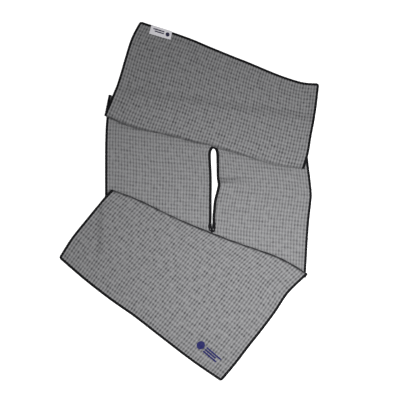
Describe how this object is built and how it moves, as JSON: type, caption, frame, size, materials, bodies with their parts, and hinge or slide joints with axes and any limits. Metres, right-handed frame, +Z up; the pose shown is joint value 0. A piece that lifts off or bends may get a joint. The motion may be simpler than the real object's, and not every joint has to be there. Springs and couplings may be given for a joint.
{
  "type": "golf towel",
  "caption": "Rectangular waffle-weave towel with a stitched edge, a bound slit in the middle and a small woven label, lying in an accordion fold.",
  "frame": {"origin": "centre of the folded towel's footprint, at table height", "axes": "+X to the right across the towel, +Y up the towel from the bottom panel to the top hem, +Z up from the table"},
  "size_m": [0.514, 0.722, 0.0068],
  "materials": {
    "cloth": "matt grey waffle-weave microfibre",
    "edge_thread": "black overlock thread, slightly glossy",
    "label": "white woven satin with a plain dark blue motif"
  },
  "bodies": {
    "middle": {"middle_panel": "cloth", "edge_middle_left": "edge_thread", "edge_middle_right": "edge_thread", "slit_binding": "edge_thread"},
    "upper_pleat": {"upper_pleat": "cloth", "edge_upper_pleat_left": "edge_thread", "edge_upper_pleat_right": "edge_thread"},
    "top": {"top_panel": "cloth", "edge_top_left": "edge_thread", "edge_top_right": "edge_thread", "edge_top_hem": "edge_thread", "woven_label": "label"},
    "lower_pleat": {"lower_pleat": "cloth", "edge_lower_pleat_left": "edge_thread", "edge_lower_pleat_right": "edge_thread"},
    "bottom": {"bottom_panel": "cloth", "edge_bottom_left": "edge_thread", "edge_bottom_right": "edge_thread", "edge_bottom_hem": "edge_thread"}
  },
  "joints": [
    {"name": "crease_b", "type": "hinge", "parent": "middle", "child": "upper_pleat", "pos_m": [0.033, 0.1745, 0.0022], "axis": [-0.9893, 0.1459, 0], "range_deg": [0, 179]},
    {"name": "crease_a", "type": "hinge", "parent": "upper_pleat", "child": "top", "pos_m": [0.023, 0.1045, 0.0022], "axis": [-0.9641, 0.2654, 0], "range_deg": [-179, 0]},
    {"name": "crease_d", "type": "hinge", "parent": "middle", "child": "lower_pleat", "pos_m": [0.027, -0.139, 0.0022], "axis": [0.9905, -0.1372, 0], "range_deg": [0, 179]},
    {"name": "crease_c", "type": "hinge", "parent": "lower_pleat", "child": "bottom", "pos_m": [0.0345, -0.075, 0.0022], "axis": [0.9175, -0.3977, 0], "range_deg": [-179, 0]}
  ],
  "couplings": [
    {"joint": "crease_a", "follows": "crease_b", "ratio": -1},
    {"joint": "crease_c", "follows": "crease_d", "ratio": -1}
  ]
}
